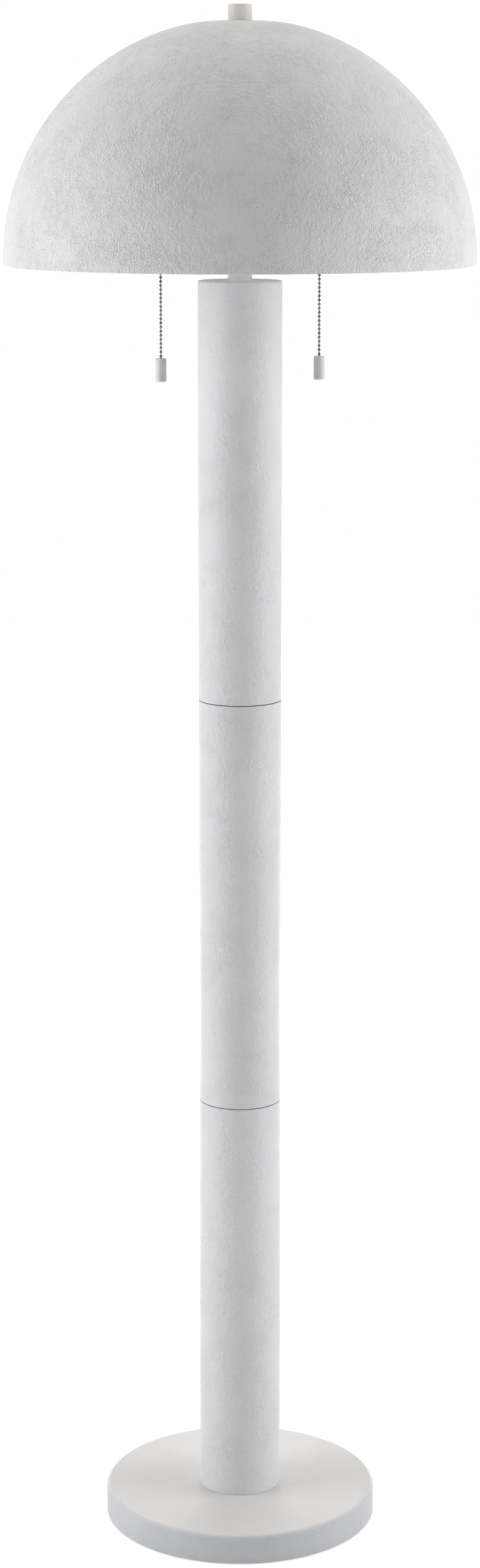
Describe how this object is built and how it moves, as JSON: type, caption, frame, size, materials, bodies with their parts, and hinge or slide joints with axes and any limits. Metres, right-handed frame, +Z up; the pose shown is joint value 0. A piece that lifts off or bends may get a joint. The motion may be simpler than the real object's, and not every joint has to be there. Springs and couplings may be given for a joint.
{
  "type": "floor lamp",
  "caption": "Mushroom floor lamp: round weighted base, stout sectional column, hollow dome shade with cylindrical finial, pull chains beneath.",
  "frame": {"origin": "centre of the underside, on the floor", "axes": "+Z up the column, +Y to the rear where the cord inlet is, +X to the right along the two sockets"},
  "size_m": [0.4571, 0.4572, 1.524],
  "materials": {
    "plaster_paint": "matt textured paint, like wrinkled plaster",
    "neck_paint": "smooth semi-gloss paint",
    "cast_iron": "rough cast",
    "zinc_steel": "bright zinc plated",
    "rubber": "matt",
    "felt": "felt",
    "nickel": "polished nickel plate",
    "brass": "satin brass",
    "fibre": "pressed fibre",
    "phenolic": "moulded phenolic",
    "opal_glass": "opal white glass",
    "white_plastic": "smooth white plastic"
  },
  "bodies": {
    "stand": {"base_cover": "plaster_paint", "base_weight": "cast_iron", "cord_bushing": "rubber", "base_pad": "felt", "base_washer": "zinc_steel", "base_nipple": "zinc_steel", "lower_tube": "plaster_paint", "middle_tube": "plaster_paint", "upper_tube": "plaster_paint", "tube_end_plates": "zinc_steel", "seam_discs": "zinc_steel", "joint_nipples": "zinc_steel", "neck_collar": "neck_paint", "riser_sleeve": "neck_paint", "riser_pipe": "zinc_steel", "cluster_body": "neck_paint", "cluster_cap": "neck_paint", "support_rod": "zinc_steel", "arm_nipples": "zinc_steel", "pipe_nuts": "zinc_steel", "centre_contacts": "brass", "lever_pins": "zinc_steel", "lever_springs": "zinc_steel", "dome": "plaster_paint", "crown_seat": "zinc_steel", "left_socket_cap": "nickel", "left_socket_shell": "nickel", "left_socket_liner": "fibre", "left_switch_body": "phenolic", "left_screw_shell": "brass", "left_chain_guide": "nickel", "right_socket_cap": "nickel", "right_socket_shell": "nickel", "right_socket_liner": "fibre", "right_switch_body": "phenolic", "right_screw_shell": "brass", "right_chain_guide": "nickel"},
    "finial_carrier": {"finial_washer": "zinc_steel"},
    "finial_head": {"finial": "plaster_paint"},
    "left_chain_stem": {"left_chain_top": "nickel"},
    "left_chain_neck": {"left_chain_sway": "nickel"},
    "left_chain_upper": {"left_chain_swing": "nickel"},
    "left_chain_lower": {"left_chain_lower": "nickel"},
    "left_chain_pull": {"left_pull": "white_plastic"},
    "left_lever": {"left_switch_lever": "zinc_steel"},
    "left_bulb_carrier": {"left_bulb_tip": "nickel"},
    "left_bulb": {"left_bulb_base": "nickel", "left_bulb_glass": "opal_glass"},
    "right_chain_stem": {"right_chain_top": "nickel"},
    "right_chain_neck": {"right_chain_sway": "nickel"},
    "right_chain_upper": {"right_chain_swing": "nickel"},
    "right_chain_lower": {"right_chain_lower": "nickel"},
    "right_chain_pull": {"right_pull": "white_plastic"},
    "right_lever": {"right_switch_lever": "zinc_steel"},
    "right_bulb_carrier": {"right_bulb_tip": "nickel"},
    "right_bulb": {"right_bulb_base": "nickel", "right_bulb_glass": "opal_glass"}
  },
  "joints": [
    {"name": "finial_lift", "type": "slide", "parent": "stand", "child": "finial_carrier", "axis": [0, 0, 1], "range_m": [0, 0.009]},
    {"name": "finial_turn", "type": "hinge", "parent": "finial_carrier", "child": "finial_head", "pos_m": [0, 0, 1.5081], "axis": [0, 0, 1], "range_deg": [0, 3240]},
    {"name": "left_chain_pull_down", "type": "slide", "parent": "stand", "child": "left_chain_stem", "axis": [0, 0, -1], "range_m": [0, 0.009], "stiffness_N_per_m": 500, "springref_m": -0.004},
    {"name": "left_chain_sway", "type": "hinge", "parent": "left_chain_stem", "child": "left_chain_neck", "pos_m": [-0.077, 0, 1.30087], "axis": [0, 1, 0], "range_deg": [-8, 35]},
    {"name": "left_chain_swing", "type": "hinge", "parent": "left_chain_neck", "child": "left_chain_upper", "pos_m": [-0.077, 0, 1.29287], "axis": [1, 0, 0], "range_deg": [-30, 30]},
    {"name": "left_chain_bend", "type": "hinge", "parent": "left_chain_upper", "child": "left_chain_lower", "pos_m": [-0.077, 0, 1.23687], "axis": [0, 1, 0], "range_deg": [-4, 25]},
    {"name": "left_pull_tilt", "type": "hinge", "parent": "left_chain_lower", "child": "left_chain_pull", "pos_m": [-0.077, 0, 1.18487], "axis": [1, 0, 0], "range_deg": [-12, 12]},
    {"name": "left_switch_lever_turn", "type": "hinge", "parent": "stand", "child": "left_lever", "pos_m": [-0.06753, 0, 1.33237], "axis": [0, -1, 0], "range_deg": [0, 53.49]},
    {"name": "left_bulb_travel", "type": "slide", "parent": "stand", "child": "left_bulb_carrier", "axis": [-1, 0, 0], "range_m": [0, 0.02177]},
    {"name": "left_bulb_turn", "type": "hinge", "parent": "left_bulb_carrier", "child": "left_bulb", "pos_m": [-0.053, 0, 1.3332], "axis": [-1, 0, 0], "range_deg": [0, 2160]},
    {"name": "right_chain_pull_down", "type": "slide", "parent": "stand", "child": "right_chain_stem", "axis": [0, 0, -1], "range_m": [0, 0.009], "stiffness_N_per_m": 500, "springref_m": -0.004},
    {"name": "right_chain_sway", "type": "hinge", "parent": "right_chain_stem", "child": "right_chain_neck", "pos_m": [0.077, 0, 1.30307], "axis": [0, -1, 0], "range_deg": [-8, 35]},
    {"name": "right_chain_swing", "type": "hinge", "parent": "right_chain_neck", "child": "right_chain_upper", "pos_m": [0.077, 0, 1.29507], "axis": [1, 0, 0], "range_deg": [-30, 30]},
    {"name": "right_chain_bend", "type": "hinge", "parent": "right_chain_upper", "child": "right_chain_lower", "pos_m": [0.077, 0, 1.23907], "axis": [0, -1, 0], "range_deg": [-4, 25]},
    {"name": "right_pull_tilt", "type": "hinge", "parent": "right_chain_lower", "child": "right_chain_pull", "pos_m": [0.077, 0, 1.18707], "axis": [1, 0, 0], "range_deg": [-12, 12]},
    {"name": "right_switch_lever_turn", "type": "hinge", "parent": "stand", "child": "right_lever", "pos_m": [0.06753, 0, 1.33457], "axis": [0, 1, 0], "range_deg": [0, 53.49]},
    {"name": "right_bulb_travel", "type": "slide", "parent": "stand", "child": "right_bulb_carrier", "axis": [1, 0, 0], "range_m": [0, 0.02177]},
    {"name": "right_bulb_turn", "type": "hinge", "parent": "right_bulb_carrier", "child": "right_bulb", "pos_m": [0.053, 0, 1.3332], "axis": [1, 0, 0], "range_deg": [0, 2160]}
  ],
  "couplings": [
    {"joint": "finial_turn", "follows": "finial_lift", "rad_per_m": 6283.2},
    {"joint": "left_switch_lever_turn", "follows": "left_chain_pull_down", "rad_per_m": 103.71},
    {"joint": "left_bulb_turn", "follows": "left_bulb_travel", "rad_per_m": 1731.6},
    {"joint": "right_switch_lever_turn", "follows": "right_chain_pull_down", "rad_per_m": 103.71},
    {"joint": "right_bulb_turn", "follows": "right_bulb_travel", "rad_per_m": 1731.6}
  ]
}
